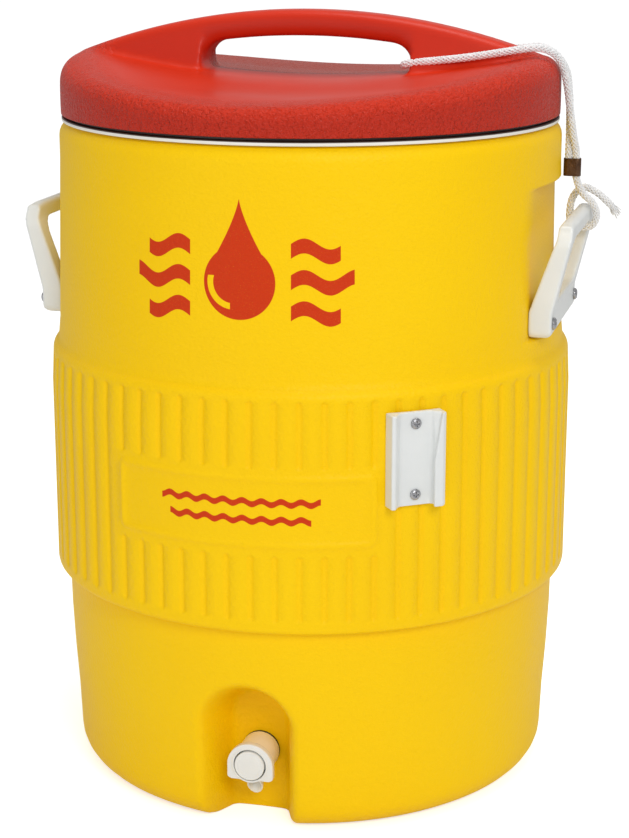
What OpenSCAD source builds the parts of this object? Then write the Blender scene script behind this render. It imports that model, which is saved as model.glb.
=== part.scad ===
// Insulated ten-gallon-class water jug: a round double-walled tank with a lift-off lid,
// two screwed-on side handles, a cup-holder bracket, a push-button tap and a lid lanyard.
// Frame: origin on the floor under the tank's axis, +Z up, the tap faces -Y, handles at +X and -X.

/* [Body] */
// Radius of the ribbed band round the middle
band_r = 187.7; // [187:0.1:189]
// Radius of the base at the top of its rounded edge
base_r = 174; // [173:0.1:175]
// Height of the shell, without the liner's rim
shell_h = 470; // [469:0.5:471]
// Thickness of the moulded outer shell
shell_t = 2.5; // [2.2:0.1:2.8]
// Radius of the rounded edge round the base
base_fillet = 20; // [16:1:22]
// Number of grooves round the band
groove_count = 72; // [36:36:72]
// Radius of the round tool that would cut one groove
groove_r = 2.2; // [1.8:0.1:2.6]
// Depth of one groove
groove_depth = 1.1; // [0.6:0.1:1.4]

/* [Handle pockets] */
// Distance of a pocket's flat wall from the axis
pocket_x = 168; // [168:0.5:169]
// Bottom of the pockets
pocket_z0 = 329.5; // [329:0.5:330]
// Top of the pockets
pocket_z1 = 431; // [428:1:434]

/* [Tap niche] */
// Distance of the niche's flat back wall from the axis
niche_y = 135; // [134:0.5:136]
// Half width of the niche at its back wall
niche_half = 20; // [19:0.5:21]
// Half width gained for each millimetre outwards
niche_slope = 0.3; // [0.25:0.01:0.35]
// Height of the centre of the niche's arch
niche_z = 72; // [70:1:74]

/* [Liner and foam] */
// Outer radius of the liner near its floor
liner_r = 164.5; // [163:0.5:165]
// Thickness of the liner
liner_t = 2.5; // [2:0.1:3]
// Height of the liner's underside above the floor
liner_z = 25.5; // [24:0.5:27]
// Foam left between the shell and the liner behind the niche
niche_foam = 6; // [5:0.5:7]
// Thickness of the liner's rim flange
rim_t = 3; // [2.5:0.1:3.5]
// Radius of the liner's rim flange
rim_r = 175.5; // [174:0.5:176]

/* [Lid] */
// Radius of the lid at its widest
lid_r = 176; // [175:0.5:177]
// Height of the lid's lower edge
lid_z = 475; // [474.5:0.5:476]
// Height of the lid's top at the front and back
lid_low = 494; // [492:0.5:496]
// Rise of the lid's top towards the two ends of the handle
lid_rise = 24; // [20:1:26]
// Height of the top of the handle's arch
arch_z = 545; // [543:1:547]
// Thickness of the handle's grip, up and down
grip_h = 18; // [16:1:20]
// Width of the handle's ridge, front to back
ridge_w = 28; // [26:1:28]
// Half length of the finger opening
opening_half = 75; // [72:1:76]
// Thickness of the lid's wall
lid_t = 3; // [2.5:0.1:3.5]
// Radius of the plug under the lid
plug_r = 160.9; // [159:0.1:161]
// Depth of the plug below the liner's rim
plug_h = 18; // [14:1:22]

/* [Side handles] */
// Half width of a side handle
handle_half = 61; // [60:0.5:62]
// Half width of a side handle's opening
window_half = 47; // [46:0.5:48]
// Lowest point of a side handle
handle_z0 = 331; // [330.5:0.5:332]
// Highest point of a side handle
handle_z1 = 409; // [408:0.5:410]
// Distance of the two screws from the handle's middle
handle_screw_y = 54; // [53:0.5:55]
// Height of the handle's screws
handle_screw_z = 341; // [340:0.5:342]

/* [Cup bracket] */
// Angle of the bracket from the tap, towards +X
bracket_angle = 35.5; // [34:0.5:37]
// Height of the bracket's middle
bracket_z = 268.6; // [266:0.1:270]
// Length of the bracket
bracket_h = 63; // [60:1:66]
// Distance between the bracket's two screws
bracket_pitch = 47.8; // [46:0.1:50]

/* [Tap] */
// Height of the tap's axis
tap_z = 44; // [43.5:0.5:45]
// Distance of the tap's face from the tank's axis
tap_face = 165; // [164.5:0.5:166]
// Radius of the tap's front cap
cap_r = 16.8; // [16:0.1:17]
// Radius of the tap's barrel in front of the wall
barrel_r = 13.4; // [13:0.1:14]
// Radius of the threaded shank through the wall
shank_r = 9; // [8.5:0.1:9.5]
// Radius of the push button
button_r = 10.5; // [10:0.1:10.6]
// Travel of the push button
button_travel = 5; // [4:0.5:5]
// Outer radius of the spout
spout_r = 5.7; // [5.4:0.1:6]
// Radius of the spout's bore
spout_bore = 4.5; // [4.2:0.1:4.7]

/* [Lanyard] */
// Thickness of the braided cord
cord_d = 5; // [4.5:0.1:5]

/* [Hidden] */
$fn = 96;
yellow = "#f2c400";
red = "#b83a1e";
white = "#e6e8e4";
steel = "#b9bcc0";
foam_colour = "#efe2b6";
rubber = "#33353a";
gap = 0.3;
band_z0 = 149;
band_z1 = 316;
groove_z0 = 158;
groove_z1 = 308;
panel_half_angle = 27.5;
panel_z0 = 211.5;
panel_z1 = 256.5;
bead_r = 1.4;
liner_top = shell_h;
rim_top = shell_h + rim_t;
lid_seat = rim_top + gap;
seat_plate = 3;
saddle_r = (lid_r * lid_r) / (2 * lid_rise) + lid_rise / 2;
arch_span = 155;
arch_drop = 26;
arch_r = (arch_span * arch_span) / (2 * arch_drop) + arch_drop / 2;
arch_c = arch_z - arch_r;
foot_x = 184;
grip_x0 = 186;
grip_x1 = 196;
screw_r = 2.2;
bracket_screw_r = 1.8;
liner_wall_y = niche_y - shell_t - niche_foam - liner_t;
far = 260;
shell_mouth_r = liner_r + 1.3;
wall_facets = 180;
panel_gap_z0 = 204;
panel_gap_z1 = 263;
wall_play = 0.05;
pan_head_h = 1.4;
pan_dome_h = 1;
washer_t = 1.5;
cap_t = 5;
cap_chin = 12.9;
bezel_r = 12.2;
valve_y = 106;
web_out = 152.5;
web_in = 150;
button_back = web_out + button_travel + 0.5;
button_face = tap_face + 1.6;
button_floor = button_face - 2.6;
button_hollow_r = 6.6;
chamber_r = 6.5;
stem_r = 2;
spout_top = [0, -143, tap_z - 5];
spout_mouth = [0, -155, tap_z - 24.5];
spout_tilt = atan2(spout_top[1] - spout_mouth[1], spout_top[2] - spout_mouth[2]);
spout_len = norm(spout_mouth - spout_top);
spring_r = 5.2;
spring_wire = 0.9;
spring_turns = 6;
spring_steps = 12;
spring_play = 0.1;
spring_from = web_out + spring_wire / 2 + spring_play;
spring_to = button_floor - spring_wire / 2 - spring_play;
ferrule_z = 431;
ferrule_h = 12.5;
ferrule_at = [183.6, 25.2, ferrule_z];
strand_half = 2.8;

// Points of an arc about (cx, cz), from angle a0 to a1, in n steps.
function arc(cx, cz, r, a0, a1, n = 8) =
    [for (i = [0:n]) [cx + r * cos(a0 + (a1 - a0) * i / n), cz + r * sin(a0 + (a1 - a0) * i / n)]];

// Half outline of the body, with its wall moved in by t.
function body_outline(t) = concat(
    [[0, t]],
    arc(base_r - base_fillet, base_fillet, base_fillet - t, -90, 0),
    [[175.2 - t, 51], [177.3 - t, 83], [178.7 - t, 115], [179.3 - t, band_z0 + t]],
    arc(band_r - 4, band_z0 + 4, 4 - t, -90, 0, 6),
    [[band_r - t, 285], [band_r - 0.8 - t, 300]],
    arc(band_r - 9.2, band_z1 - 8, 8 - t, 0, 60, 6),
    [[181.2 - t, band_z1 + 12 - t], [178.4 - t, 414], [177.4 - t, 445]],
    arc(167.4, shell_h - 10, 10 - t, 0, 90, 8),
    [[0, shell_h - t]]);

// The tap's niche: an arch over straight flaring sides, grown by g into the wall.
module niche(g) {
    back = -niche_y + g;
    depth = far + back;
    r0 = niche_half + g;
    r1 = r0 + niche_slope * depth;
    translate([0, back, niche_z]) rotate([90, 0, 0]) cylinder(h = depth, r1 = r0, r2 = r1);
    translate([0, 0, -5]) linear_extrude(height = niche_z + 5)
        polygon([[-r0 - 0.2, back], [r0 + 0.2, back], [r1 + 0.2, -far], [-r1 - 0.2, -far]]);
}

// The two flat pockets behind the side handles, grown by g.
module pockets(g) {
    for (side = [-1, 1])
        translate([side > 0 ? pocket_x - g : -far, -far / 2, pocket_z0 - g])
            cube([far - pocket_x + g, far, pocket_z1 - pocket_z0 + 2 * g]);
}

// Solid of the whole body, with its surface moved in by t.
module body_form(t) {
    difference() {
        rotate_extrude($fn = wall_facets) polygon(body_outline(t));
        niche(t);
        pockets(t);
    }
}

// Solid outside of the liner, without its rim.
module liner_form() {
    difference() {
        rotate_extrude($fn = wall_facets) polygon(concat([[0, liner_z]],
            arc(liner_r - 14, liner_z + 14, 14, -90, 0, 6),
            [[liner_r + 1, liner_top + 1], [0, liner_top + 1]]));
        niche(shell_t + niche_foam);
    }
}

// Straight hole for the tap's shank, through shell, foam and liner.
module tap_hole(r) {
    translate([0, -90, tap_z]) rotate([90, 0, 0]) cylinder(h = 60, r = r);
}

// Pilot holes of the side handles' screws.
module handle_screw_holes(r) {
    for (side = [-1, 1], y = [-handle_screw_y, handle_screw_y])
        translate([side > 0 ? 157 : -157 - 40, y, handle_screw_z]) rotate([0, 90, 0])
            cylinder(h = 40, r = r);
}

// Pilot holes of the bracket's screws.
module bracket_screw_holes(r) {
    for (dz = [-bracket_pitch / 2, bracket_pitch / 2])
        rotate([0, 0, bracket_angle]) translate([0, -176, bracket_z + dz]) rotate([90, 0, 0])
            cylinder(h = 30, r = r);
}

// One groove of the band, upright, from z0 to z1.
module groove(angle, z0, z1) {
    rotate([0, 0, angle]) translate([0, -band_r - groove_r + groove_depth, z0])
        cylinder(h = z1 - z0, r = groove_r, $fn = 24);
}

module band_grooves() {
    step = 360 / groove_count;
    for (i = [0:groove_count - 1]) {
        a = (i + 0.5) * step;
        inside = min(a, 360 - a) < panel_half_angle + 1;
        if (inside) {
            groove(a, groove_z0, panel_gap_z0);
            groove(a, panel_gap_z1, groove_z1);
        } else {
            groove(a, groove_z0, groove_z1);
        }
    }
}

// Raised bead that frames the plain panel on the band's front.
module panel_frame() {
    for (z = [panel_z0, panel_z1])
        rotate([0, 0, 270 - panel_half_angle]) translate([0, 0, z])
            rotate_extrude(angle = 2 * panel_half_angle, $fn = wall_facets)
                translate([band_r - 0.8, 0]) circle(r = bead_r, $fn = 24);
    for (a = [-panel_half_angle, panel_half_angle])
        rotate([0, 0, a]) translate([0, -band_r + 0.8, panel_z0])
            cylinder(h = panel_z1 - panel_z0, r = bead_r, $fn = 24);
}

module outer_shell() {
    color(yellow) difference() {
        union() {
            difference() {
                body_form(0);
                band_grooves();
            }
            panel_frame();
        }
        body_form(shell_t);
        translate([0, 0, shell_h - 20]) cylinder(h = 30, r = shell_mouth_r, $fn = wall_facets);
        tap_hole(shank_r + 0.1);
        handle_screw_holes(screw_r + wall_play);
        bracket_screw_holes(bracket_screw_r + wall_play);
    }
}

module foam_insulation() {
    color(foam_colour) difference() {
        body_form(shell_t);
        liner_form();
        translate([0, 0, shell_h - shell_t]) cylinder(h = 20, r = far);
        tap_hole(shank_r + 0.1);
        handle_screw_holes(screw_r + wall_play);
        bracket_screw_holes(bracket_screw_r + wall_play);
    }
}

module inner_liner() {
    inner_r = liner_r - liner_t;
    color(white) difference() {
        intersection() {
            liner_form();
            cylinder(h = liner_top, r = far);
        }
        difference() {
            rotate_extrude($fn = wall_facets) polygon(concat([[0, liner_z + liner_t]],
                arc(inner_r - 11.5, liner_z + liner_t + 11.5, 11.5, -90, 0, 6),
                [[inner_r + 1, rim_top + 1], [0, rim_top + 1]]));
            niche(shell_t + niche_foam + liner_t);
        }
        tap_hole(shank_r + 0.1);
    }
}

// Flat rim ring that lies on the shell's top edge and closes the foam in.
module liner_rim() {
    color(white) translate([0, 0, liner_top]) difference() {
        cylinder(h = rim_t, r = rim_r, $fn = wall_facets);
        translate([0, 0, -1]) cylinder(h = rim_t + 2, r = liner_r - liner_t + 1, $fn = wall_facets);
    }
}

// Half outline of the lid's outside, with its wall moved in by t.
function lid_outline(t) = [[0, lid_z - t], [lid_r - 0.8 - t, lid_z - t], [lid_r - t, lid_z + 9],
    [lid_r - t, lid_z + 22], [lid_r - 3 - t, lid_z + 31], [lid_r - 8 - t, lid_z + 37 - t],
    [arch_span - t, lid_z + 44.3 - t], [0, lid_z + 85]];

// Everything above the saddle-shaped top, lowered by t.
module above_saddle(t) {
    translate([0, far, lid_low + saddle_r - t]) rotate([90, 0, 0])
        cylinder(h = 2 * far, r = saddle_r, $fn = 360);
}

// Everything below the handle's arch, moved in by t.
module below_arch(t) {
    translate([0, far, arch_c]) rotate([90, 0, 0])
        cylinder(h = 2 * far, r = arch_r - t, $fn = 360);
}

module lid_shell() {
    color(red) difference() {
        union() {
            difference() {
                rotate_extrude($fn = wall_facets) polygon(lid_outline(0));
                above_saddle(0);
            }
            intersection() {
                rotate_extrude($fn = wall_facets) polygon(lid_outline(0));
                below_arch(0);
                translate([-far, -ridge_w / 2, lid_z + 5]) cube([2 * far, ridge_w, 100]);
            }
        }
        difference() {
            rotate_extrude($fn = wall_facets) polygon(lid_outline(lid_t));
            above_saddle(lid_t);
        }
        intersection() {
            below_arch(grip_h);
            above_saddle(0);
            translate([-opening_half, -50, lid_z]) cube([2 * opening_half, 100, 100]);
        }
    }
}

module lid_liner() {
    flange_r = lid_r - lid_t - 0.8;
    wall_t = 2.5;
    color(white) difference() {
        union() {
            translate([0, 0, lid_seat]) cylinder(h = seat_plate, r = flange_r, $fn = wall_facets);
            translate([0, 0, lid_seat - plug_h]) cylinder(h = plug_h + 1, r = plug_r, $fn = wall_facets);
        }
        translate([0, 0, lid_seat - plug_h + wall_t])
            cylinder(h = plug_h + 20, r = plug_r - wall_t, $fn = wall_facets);
    }
}

module lid_foam() {
    color(foam_colour) {
        difference() {
            rotate_extrude($fn = wall_facets) polygon([[0, lid_seat - plug_h + 2.5],
                [plug_r - 2.5, lid_seat - plug_h + 2.5], [plug_r - 2.5, lid_seat + seat_plate],
                [lid_r - 6, lid_seat + seat_plate], [lid_r - 6, lid_z + 22], [0, lid_z + 22]]);
            above_saddle(lid_t + 0.5);
        }
    }
}

// One side handle, on the +X side: a side profile swept across, trimmed to its front outline.
module side_handle() {
    color(white) difference() {
        intersection() {
            translate([0, far / 2, 0]) rotate([90, 0, 0]) linear_extrude(height = far)
                polygon([[pocket_x, handle_z0], [foot_x - 3, handle_z0], [foot_x, handle_z0 + 3],
                    [foot_x, 348], [grip_x1, 398], [grip_x1, handle_z1 - 3], [grip_x1 - 3, handle_z1],
                    [grip_x0 + 2, handle_z1], [grip_x0, handle_z1 - 2], [grip_x0 - 0.5, 399],
                    [pocket_x + 9, 375], [pocket_x, 349]]);
            translate([100, 0, 0]) rotate([90, 0, 90]) linear_extrude(height = 150) {
                translate([-handle_half, handle_z0 + 6])
                    square([2 * handle_half, handle_z1 - handle_z0 - 24]);
                translate([-handle_half + 6, handle_z0])
                    square([2 * handle_half - 12, handle_z1 - handle_z0 - 1]);
                translate([-handle_half + 18, handle_z0])
                    square([2 * handle_half - 36, handle_z1 - handle_z0]);
                for (s = [-1, 1]) {
                    translate([s * (handle_half - 18), handle_z1 - 18]) circle(r = 18);
                    translate([s * (handle_half - 6), handle_z0 + 6]) circle(r = 6);
                }
            }
        }
        translate([100, 0, 0]) rotate([90, 0, 90]) linear_extrude(height = 150) {
            translate([-window_half, 366]) square([2 * window_half, 22]);
            translate([-window_half + 12, 354]) square([2 * window_half - 24, 44]);
            for (s = [-1, 1], z = [366, 386])
                translate([s * (window_half - 12), z]) circle(r = 12);
        }
        for (y = [-handle_screw_y, handle_screw_y])
            translate([150, y, handle_screw_z]) rotate([0, 90, 0]) cylinder(h = 50, r = screw_r + 0.2);
    }
}

// Two pan-head screws that hold one side handle, on the +X side.
module handle_screws() {
    color(steel) for (y = [-handle_screw_y, handle_screw_y])
        translate([0, y, handle_screw_z]) rotate([0, 90, 0]) difference() {
            union() {
                translate([0, 0, 158]) cylinder(h = foot_x - 158 + 0.5, r = screw_r);
                translate([0, 0, foot_x]) cylinder(h = pan_head_h, r = 4.2);
                translate([0, 0, foot_x + pan_head_h]) cylinder(h = pan_dome_h, r1 = 4.2, r2 = 2.9);
            }
            for (a = [0, 90])
                rotate([0, 0, a]) translate([-2.4, -0.5, foot_x + 1]) cube([4.8, 1, 3]);
        }
}

module side_handle_left() {
    mirror([1, 0, 0]) side_handle();
}

module side_handle_right() {
    side_handle();
}

module handle_screws_left() {
    mirror([1, 0, 0]) handle_screws();
}

module handle_screws_right() {
    handle_screws();
}

// Channel for a cup dispenser: a plate with a slanted wing on one side and an undercut lip on the other.
module cup_bracket() {
    face = band_r + 4;
    color(white) difference() {
        rotate([0, 0, bracket_angle]) translate([0, 0, bracket_z - bracket_h / 2])
            linear_extrude(height = bracket_h)
                polygon([[-19, -band_r + 4], [-19, -face - 6], [-16.5, -face - 6.5], [-11, -face],
                    [10.5, -face], [12, -face - 1.5], [12, -face - 5], [10.5, -face - 6.5],
                    [10.5, -face - 8.5], [16, -face - 8.5], [19, -face - 6], [19, -band_r + 4]]);
        translate([0, 0, band_z0]) cylinder(h = band_z1 - band_z0, r = band_r + wall_play, $fn = wall_facets);
        bracket_screw_holes(bracket_screw_r + 0.2);
    }
}

module cup_bracket_screws() {
    face = band_r + 4;
    color(steel) for (dz = [-bracket_pitch / 2, bracket_pitch / 2])
        rotate([0, 0, bracket_angle]) translate([0, 0, bracket_z + dz]) rotate([90, 0, 0]) difference() {
            union() {
                translate([0, 0, 177]) cylinder(h = face - 177 + 0.5, r = bracket_screw_r);
                translate([0, 0, face]) cylinder(h = 1.2, r = 3.6);
                translate([0, 0, face + 1.2]) cylinder(h = 0.9, r1 = 3.6, r2 = 2.4);
            }
            for (a = [0, 90])
                rotate([0, 0, a]) translate([-2, -0.45, face + 0.9]) cube([4, 0.9, 3]);
        }
}

// Cylinder on the tap's axis, from y0 in to y1 (both counted outwards from the tank's axis).
module on_tap(y0, y1, r) {
    translate([0, -y0, tap_z]) rotate([90, 0, 0]) cylinder(h = y1 - y0, r = r);
}

module on_spout(from, to, r) {
    translate(spout_top) rotate([180 - spout_tilt, 0, 0]) translate([0, 0, from])
        cylinder(h = to - from, r = r);
}

// Barrel, threaded shank and slanted spout in one moulding. A web inside parts the dry front
// chamber, where the button and its spring work, from the wet one behind it.
module spigot_body() {
    color("#ece5cf") difference() {
        union() {
            on_tap(niche_y + washer_t, tap_face - cap_t, barrel_r);
            on_tap(valve_y, niche_y + 2, shank_r);
            on_spout(1.4, spout_len, spout_r);
        }
        on_tap(web_out, tap_face, button_r + gap);
        on_tap(web_in - 1, web_out + 1, stem_r + gap);
        on_tap(valve_y - 1, web_in, chamber_r);
        on_spout(0, spout_len + 1, spout_bore);
    }
}

module spigot_cap() {
    color(white) difference() {
        union() {
            intersection() {
                on_tap(tap_face - cap_t, tap_face, cap_r);
                translate([-far / 2, -tap_face - 1, tap_z - cap_chin]) cube([far, cap_t + 2, far]);
            }
            translate([-cap_chin, -tap_face, tap_z - cap_chin]) cube([2 * cap_chin, cap_t, 6]);
            on_tap(tap_face - 1, tap_face + 0.7, bezel_r);
        }
        on_tap(tap_face - cap_t - 1, tap_face + 1, button_r + gap);
    }
}

// Hollow push button: the return spring sits inside it, round the stem.
module spigot_button() {
    color(white) difference() {
        on_tap(button_back, button_face, button_r);
        on_tap(button_back - 1, button_floor, button_hollow_r);
        difference() {
            on_tap(button_face - 0.6, button_face + 1, 9);
            on_tap(button_face - 1, button_face + 2, 8.2);
        }
    }
}

module spigot_stem() {
    color("#d9dcd8") {
        on_tap(valve_y - 5, button_floor, stem_r);
        on_tap(valve_y - 6.5, valve_y - 4.1, 5);
    }
}

module spigot_seal() {
    color(rubber) difference() {
        on_tap(valve_y - 4.1, valve_y - 0.1, 8.2);
        on_tap(valve_y - 5, valve_y + 1, stem_r);
    }
}

function helix(i) = [spring_r * cos(360 * i / spring_steps),
    -spring_from - (spring_to - spring_from) * i / (spring_steps * spring_turns),
    tap_z + spring_r * sin(360 * i / spring_steps)];

// A tube of radius r and n sides, swept along the points p with its rings carried from one to the next.
function unit(v) = v / norm(v);
function tangent(p, i) = unit(p[min(i + 1, len(p) - 1)] - p[max(i - 1, 0)]);
function side_of(t) = unit(cross(t, abs(t[2]) < 0.9 ? [0, 0, 1] : [0, 1, 0]));
function carried(p, i, last) = unit(last - (last * tangent(p, i)) * tangent(p, i));
function sides(p, i = 0, done = []) = i == len(p) ? done
    : sides(p, i + 1, concat(done, [i == 0 ? side_of(tangent(p, 0)) : carried(p, i, done[i - 1])]));

module tube(p, r, n) {
    s = sides(p);
    rings = [for (i = [0:len(p) - 1]) for (k = [0:n - 1])
        p[i] + r * (cos(360 * k / n) * s[i] + sin(360 * k / n) * cross(tangent(p, i), s[i]))];
    walls = [for (i = [0:len(p) - 2]) for (k = [0:n - 1])
        [(i + 1) * n + k, (i + 1) * n + (k + 1) % n, i * n + (k + 1) % n, i * n + k]];
    first = [for (k = [0:n - 1]) k];
    last = [for (k = [n - 1:-1:0]) (len(p) - 1) * n + k];
    polyhedron(points = rings, faces = concat(walls, [first, last]));
}

module spigot_spring() {
    color(steel) tube([for (i = [0:spring_steps * spring_turns]) helix(i)], spring_wire / 2, 6);
}

module spigot_nut() {
    inner = liner_wall_y - 2;
    color(white) difference() {
        translate([0, -inner + 6, tap_z]) rotate([90, 0, 0]) cylinder(h = 6, r = 16, $fn = 6);
        on_tap(inner - 7, inner + 1, shank_r + wall_play);
    }
}

module washer(y0, y1, r) {
    color(rubber) difference() {
        on_tap(y0, y1, r);
        on_tap(y0 - 1, y1 + 1, shank_r + wall_play);
    }
}

module spigot_washer_outer() {
    washer(niche_y, niche_y + washer_t, barrel_r);
}

module spigot_washer_inner() {
    washer(liner_wall_y - 2, liner_wall_y, 15);
}

// Route of the lanyard's centreline: up from the ferrule, over the lid's rim, round the lid handle's
// leg, back over the rim, down through the ferrule and once round the side handle's grip.
cord_route = [[180.8, 25.4, 432], [180.8, 25, 446], [181, 24, 463], [181, 21.5, 479],
    [180.5, 18.5, 492], [178.5, 16, 505], [172, 14.5, 515], [162, 16, 520.5], [150, 18, 520],
    [130, 18.8, 517], [108, 19, 514], [80, 18.6, 509], [72, 16.5, 508], [69.5, 9, 508],
    [69.5, -9, 508.5], [72, -16.5, 509.5], [80, -18.6, 511], [110, -20, 514.5],
    [132, -19.4, 517.8], [151, -18, 521], [163, -13.5, 522], [172, -5, 518], [177.5, 2, 509.5],
    [180.5, 8, 495], [182.3, 13, 479], [184.3, 18.5, 462], [186.2, 24.4, 447], [186.4, 25.6, 431],
    [190.5, 30, 419], [197.5, 33.5, 411.5], [200.6, 35.4, 404], [199.6, 36.8, 397.5],
    [195.6, 38, 393.4], [187, 38.8, 393], [182.2, 39.2, 395.6], [181, 39.5, 403],
    [183, 39.8, 414], [190, 41, 421], [200, 43, 417], [210, 45, 408]];

module lanyard_cord() {
    color(white) tube(cord_route, cord_d / 2, 8);
}

// Crimped metal sleeve round the lanyard's two strands.
module lanyard_ferrule() {
    color("#5a4636") translate(ferrule_at) difference() {
        linear_extrude(height = ferrule_h) ferrule_outline(3.4);
        translate([0, 0, -1]) linear_extrude(height = ferrule_h + 2) ferrule_outline(2.8);
    }
}

// Two side-by-side circles joined by straight sides.
module ferrule_outline(r) {
    for (s = [-1, 1])
        translate([s * strand_half, 0]) circle(r = r);
    translate([-strand_half, -r]) square([2 * strand_half, 2 * r]);
}

outer_shell();
foam_insulation();
inner_liner();
liner_rim();
lid_shell();
lid_foam();
lid_liner();
side_handle_left();
side_handle_right();
handle_screws_left();
handle_screws_right();
cup_bracket();
cup_bracket_screws();
spigot_body();
spigot_cap();
spigot_button();
spigot_stem();
spigot_spring();
spigot_seal();
spigot_nut();
spigot_washer_outer();
spigot_washer_inner();
lanyard_cord();
lanyard_ferrule();
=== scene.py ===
import math

import bmesh
import bpy
import numpy as np
from mathutils import Matrix, Vector


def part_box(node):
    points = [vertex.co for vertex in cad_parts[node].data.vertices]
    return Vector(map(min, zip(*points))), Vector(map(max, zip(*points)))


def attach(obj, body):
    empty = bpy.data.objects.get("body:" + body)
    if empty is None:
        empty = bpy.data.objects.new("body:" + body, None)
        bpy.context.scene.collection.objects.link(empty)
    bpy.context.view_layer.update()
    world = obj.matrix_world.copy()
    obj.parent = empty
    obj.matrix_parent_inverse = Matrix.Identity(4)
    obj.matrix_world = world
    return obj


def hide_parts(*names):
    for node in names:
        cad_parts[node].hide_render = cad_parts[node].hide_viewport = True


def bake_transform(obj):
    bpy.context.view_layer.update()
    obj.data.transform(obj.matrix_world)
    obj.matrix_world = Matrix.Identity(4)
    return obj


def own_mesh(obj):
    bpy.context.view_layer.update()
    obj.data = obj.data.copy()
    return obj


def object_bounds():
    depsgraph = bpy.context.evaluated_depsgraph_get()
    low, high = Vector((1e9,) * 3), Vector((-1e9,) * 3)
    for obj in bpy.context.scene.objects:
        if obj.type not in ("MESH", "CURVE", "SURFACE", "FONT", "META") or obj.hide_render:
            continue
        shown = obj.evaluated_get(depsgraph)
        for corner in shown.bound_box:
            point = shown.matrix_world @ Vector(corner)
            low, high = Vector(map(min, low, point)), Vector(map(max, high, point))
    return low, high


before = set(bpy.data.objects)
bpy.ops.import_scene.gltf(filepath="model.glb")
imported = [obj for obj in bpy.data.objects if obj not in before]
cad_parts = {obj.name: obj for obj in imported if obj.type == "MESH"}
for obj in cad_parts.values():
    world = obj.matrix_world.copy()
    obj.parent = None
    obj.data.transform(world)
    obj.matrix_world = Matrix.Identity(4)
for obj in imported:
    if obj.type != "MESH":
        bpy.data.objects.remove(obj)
cad_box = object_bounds()


# Camera: about 1.4 m in front of the tap, a little to its right, looking slightly down.
camera = bpy.data.objects.new("camera", bpy.data.cameras.new("camera"))
bpy.context.collection.objects.link(camera)
camera.location = (0.3596, -1.3611, 0.6209)
camera.rotation_euler = (math.radians(90 - 14.84), 0, math.radians(14.69))
camera.data.lens = 84.7
camera.data.sensor_width = 36
bpy.context.scene.camera = camera
bpy.context.scene.view_settings.view_transform = "Standard"


# Lanyard: one length of white braided cord. It leaves the ferrule, goes over the lid's rim, round
# the handle's leg and back, down through the ferrule again, and its tail loops round the side
# handle's grip. Twelve yarns cross over and under each other round a core.
def smooth_line(points, spacing):
    """Points at an even spacing on a smooth curve through the given ones."""
    p = np.array([2 * points[0] - points[1], *points, 2 * points[-1] - points[-2]])
    out = []
    for a, b, c, d in zip(p[:-3], p[1:-2], p[2:-1], p[3:]):
        for t in np.linspace(0, 1, 24, endpoint=False):
            out.append(
                0.5
                * (
                    2 * b
                    + (c - a) * t
                    + (2 * a - 5 * b + 4 * c - d) * t**2
                    + (3 * b - a - 3 * c + d) * t**3
                )
            )
    out = np.array([*out, points[-1]])
    run = np.concatenate([[0], np.cumsum(np.linalg.norm(np.diff(out, axis=0), axis=1))])
    at = np.linspace(0, run[-1], int(run[-1] / spacing) + 1)
    return np.stack([np.interp(at, run, out[:, k]) for k in range(3)], axis=1), at


def carried_frames(line):
    """A tangent and two sides at each point of a line, carried along it without twisting."""
    tangent = np.gradient(line, axis=0)
    tangent /= np.linalg.norm(tangent, axis=1)[:, None]
    side = np.cross(tangent[0], (0, 1, 0))
    sides = []
    for t in tangent:
        side = side - t * (side @ t)
        side /= np.linalg.norm(side)
        sides.append(side)
    sides = np.array(sides)
    return tangent, sides, np.cross(tangent, sides)


def tubes(name, lines, radii, rounding, material):
    """One mesh of closed round tubes along the given lines, with a radius or radii for each."""
    curve = bpy.data.curves.new(name, "CURVE")
    curve.dimensions = "3D"
    curve.bevel_depth = 1.0
    curve.bevel_resolution = rounding
    curve.use_fill_caps = True
    for line, radius in zip(lines, radii):
        spline = curve.splines.new("POLY")
        spline.points.add(len(line) - 1)
        spline.points.foreach_set("co", np.column_stack([line, np.ones(len(line))]).ravel())
        spline.points.foreach_set("radius", np.broadcast_to(radius, len(line)).astype(float))
    draft = bpy.data.objects.new(name, curve)
    bpy.context.collection.objects.link(draft)
    bm = bmesh.new()
    bm.from_mesh(draft.evaluated_get(bpy.context.evaluated_depsgraph_get()).to_mesh())
    bpy.data.objects.remove(draft)
    bmesh.ops.remove_doubles(bm, verts=bm.verts, dist=1e-6)
    return finished(bm, name, material)


def finished(bm, name, material, smooth=True):
    """Turns a bmesh into a linked object with outward faces and one material."""
    bmesh.ops.recalc_face_normals(bm, faces=bm.faces)
    mesh = bpy.data.meshes.new(name)
    bm.to_mesh(mesh)
    bm.free()
    if smooth:
        mesh.shade_smooth()
    else:
        mesh.shade_flat()
    piece = bpy.data.objects.new(name, mesh)
    bpy.context.collection.objects.link(piece)
    if material:
        mesh.materials.append(material)
    return piece


def node_group(name, inputs, outputs):
    """An empty shader node group with its sockets, and its two end nodes."""
    group = bpy.data.node_groups.new(name, "ShaderNodeTree")
    for label, kind, value in inputs:
        made = group.interface.new_socket(label, in_out="INPUT", socket_type=kind)
        if value is not None:
            made.default_value = value
    for label, kind in outputs:
        group.interface.new_socket(label, in_out="OUTPUT", socket_type=kind)
    return group, group.nodes.new("NodeGroupInput"), group.nodes.new("NodeGroupOutput")


def add_node(tree, kind, settings=(), **values):
    """A node with its settings, and its sockets' values or links, by socket name or number."""
    node = tree.nodes.new("ShaderNode" + kind)
    for key, value in dict(settings).items():
        setattr(node, key, value)
    for key, value in values.items():
        socket = node.inputs[int(key[1:]) if key[1:].isdigit() else key.replace("_", " ")]
        if isinstance(value, bpy.types.NodeSocket):
            tree.links.new(value, socket)
        else:
            socket.default_value = value
    return node


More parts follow.
